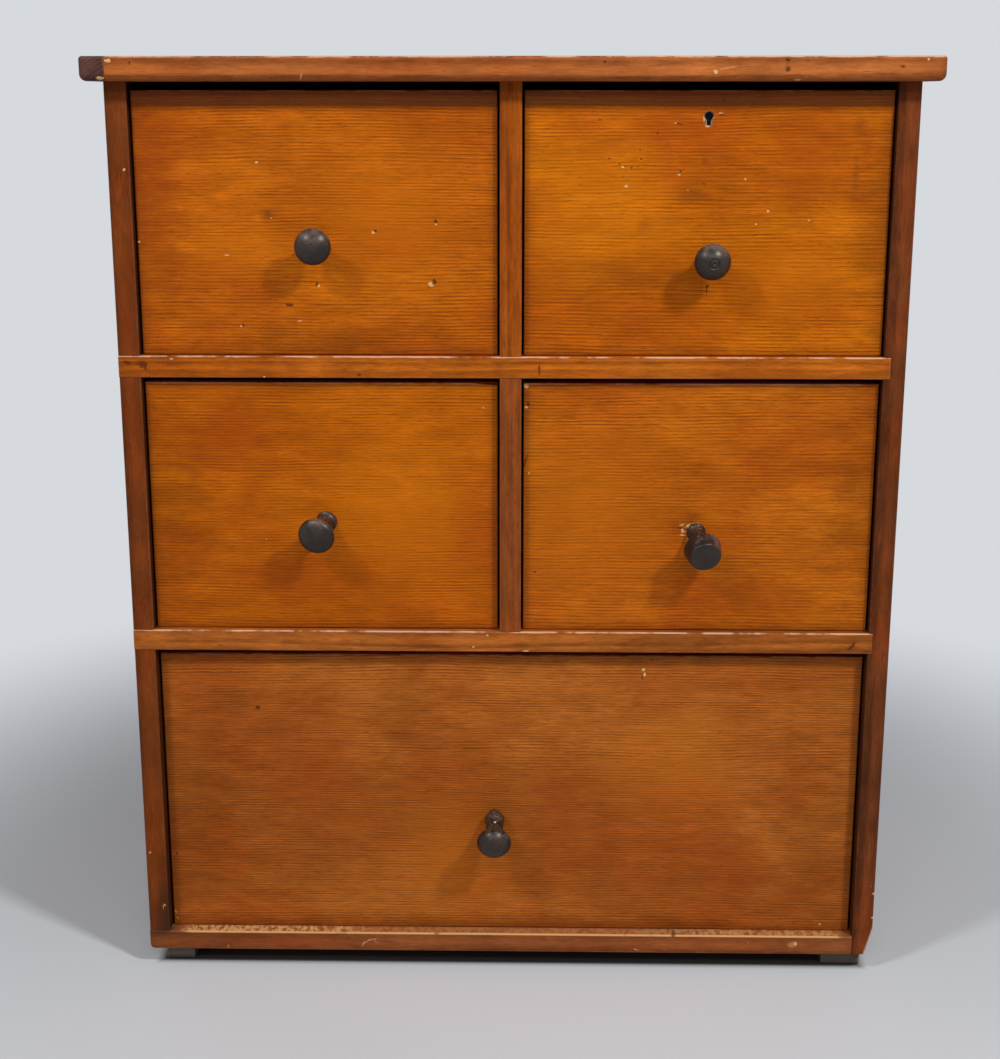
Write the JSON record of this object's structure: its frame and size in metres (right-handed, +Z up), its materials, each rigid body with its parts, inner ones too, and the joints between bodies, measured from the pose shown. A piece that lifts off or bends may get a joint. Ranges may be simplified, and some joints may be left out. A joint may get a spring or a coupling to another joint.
{
  "type": "chest of drawers",
  "caption": "Small floor-standing pine chest with short drawers over a wide one, turned dark knobs, dovetailed drawer boxes on runners and a lock that bolts into the top.",
  "frame": {"origin": "on the floor, under the middle of the whole chest's box", "axes": "+X to the chest's right as it is looked at, +Y towards its back, +Z up"},
  "size_m": [0.637, 0.4304, 0.7465],
  "materials": {
    "top_pine": "old waxed pine, orange brown, worn lighter along its front edge",
    "end_strip_pine": "dark brown waxed pine",
    "side_pine": "waxed pine, red brown",
    "rail_pine": "waxed pine, mid brown, worn at the edges",
    "drawer_front_pine": "waxed pine, orange, fine grain across",
    "bottom_front_pine": "waxed pine, brown, fine grain across",
    "drawer_lining_pine": "bare aged pine",
    "inner_pine": "bare aged pine, dusty",
    "knob_wood": "turned wood, stained near black, satin, rubbed",
    "lock_iron": "dull iron",
    "bolt_brass": "dull brass",
    "keyhole_metal": "thin worn metal",
    "nail_iron": "dull iron"
  },
  "bodies": {
    "carcass": {"back_board_1": "inner_pine", "back_board_2": "inner_pine", "back_board_3": "inner_pine", "bottom_board": "rail_pine", "centre_guides": "inner_pine", "drawer_stops": "inner_pine", "left_side": "side_pine", "lower_back_rail": "inner_pine", "lower_centre_runner": "inner_pine", "lower_divider": "rail_pine", "lower_left_runner": "inner_pine", "lower_rail": "rail_pine", "lower_right_runner": "inner_pine", "nails": "nail_iron", "right_side": "side_pine", "skids": "inner_pine", "top_board": "top_pine", "top_left_end": "end_strip_pine", "upper_back_rail": "inner_pine", "upper_centre_runner": "inner_pine", "upper_divider": "rail_pine", "upper_left_runner": "inner_pine", "upper_rail": "rail_pine", "upper_right_runner": "inner_pine"},
    "upper_left_drawer": {"upper_left_drawer_back": "drawer_lining_pine", "upper_left_drawer_bottom": "drawer_lining_pine", "upper_left_drawer_front": "drawer_front_pine", "upper_left_drawer_left_side": "drawer_lining_pine", "upper_left_drawer_right_side": "drawer_lining_pine", "upper_left_knob": "knob_wood"},
    "upper_right_drawer": {"keyhole_liner": "keyhole_metal", "lock_case": "lock_iron", "lock_screws": "lock_iron", "upper_right_drawer_back": "drawer_lining_pine", "upper_right_drawer_bottom": "drawer_lining_pine", "upper_right_drawer_front": "drawer_front_pine", "upper_right_drawer_left_side": "drawer_lining_pine", "upper_right_drawer_right_side": "drawer_lining_pine", "upper_right_knob": "knob_wood"},
    "middle_left_drawer": {"middle_left_drawer_back": "drawer_lining_pine", "middle_left_drawer_bottom": "drawer_lining_pine", "middle_left_drawer_front": "drawer_front_pine", "middle_left_drawer_left_side": "drawer_lining_pine", "middle_left_drawer_right_side": "drawer_lining_pine", "middle_left_knob": "knob_wood"},
    "middle_right_drawer": {"middle_right_drawer_back": "drawer_lining_pine", "middle_right_drawer_bottom": "drawer_lining_pine", "middle_right_drawer_front": "drawer_front_pine", "middle_right_drawer_left_side": "drawer_lining_pine", "middle_right_drawer_right_side": "drawer_lining_pine", "middle_right_knob": "knob_wood"},
    "bottom_drawer": {"bottom_drawer_back": "drawer_lining_pine", "bottom_drawer_bottom": "drawer_lining_pine", "bottom_drawer_front": "bottom_front_pine", "bottom_drawer_left_side": "drawer_lining_pine", "bottom_drawer_right_side": "drawer_lining_pine", "bottom_knob": "knob_wood", "bottom_knob_nail": "nail_iron"},
    "lock_bolt": {"lock_bolt": "bolt_brass"}
  },
  "joints": [
    {"name": "upper_left_drawer_slide", "type": "slide", "parent": "carcass", "child": "upper_left_drawer", "axis": [0, -1, 0], "range_m": [0, 0.3]},
    {"name": "upper_right_drawer_slide", "type": "slide", "parent": "carcass", "child": "upper_right_drawer", "axis": [0, -1, 0], "range_m": [0, 0.3]},
    {"name": "middle_left_drawer_slide", "type": "slide", "parent": "carcass", "child": "middle_left_drawer", "axis": [0, -1, 0], "range_m": [0, 0.3]},
    {"name": "middle_right_drawer_slide", "type": "slide", "parent": "carcass", "child": "middle_right_drawer", "axis": [0, -1, 0], "range_m": [0, 0.3]},
    {"name": "bottom_drawer_slide", "type": "slide", "parent": "carcass", "child": "bottom_drawer", "axis": [0, -1, 0], "range_m": [0, 0.3]},
    {"name": "lock_bolt_slide", "type": "slide", "parent": "upper_right_drawer", "child": "lock_bolt", "axis": [0, 0, 1], "range_m": [0, 0.01]}
  ]
}
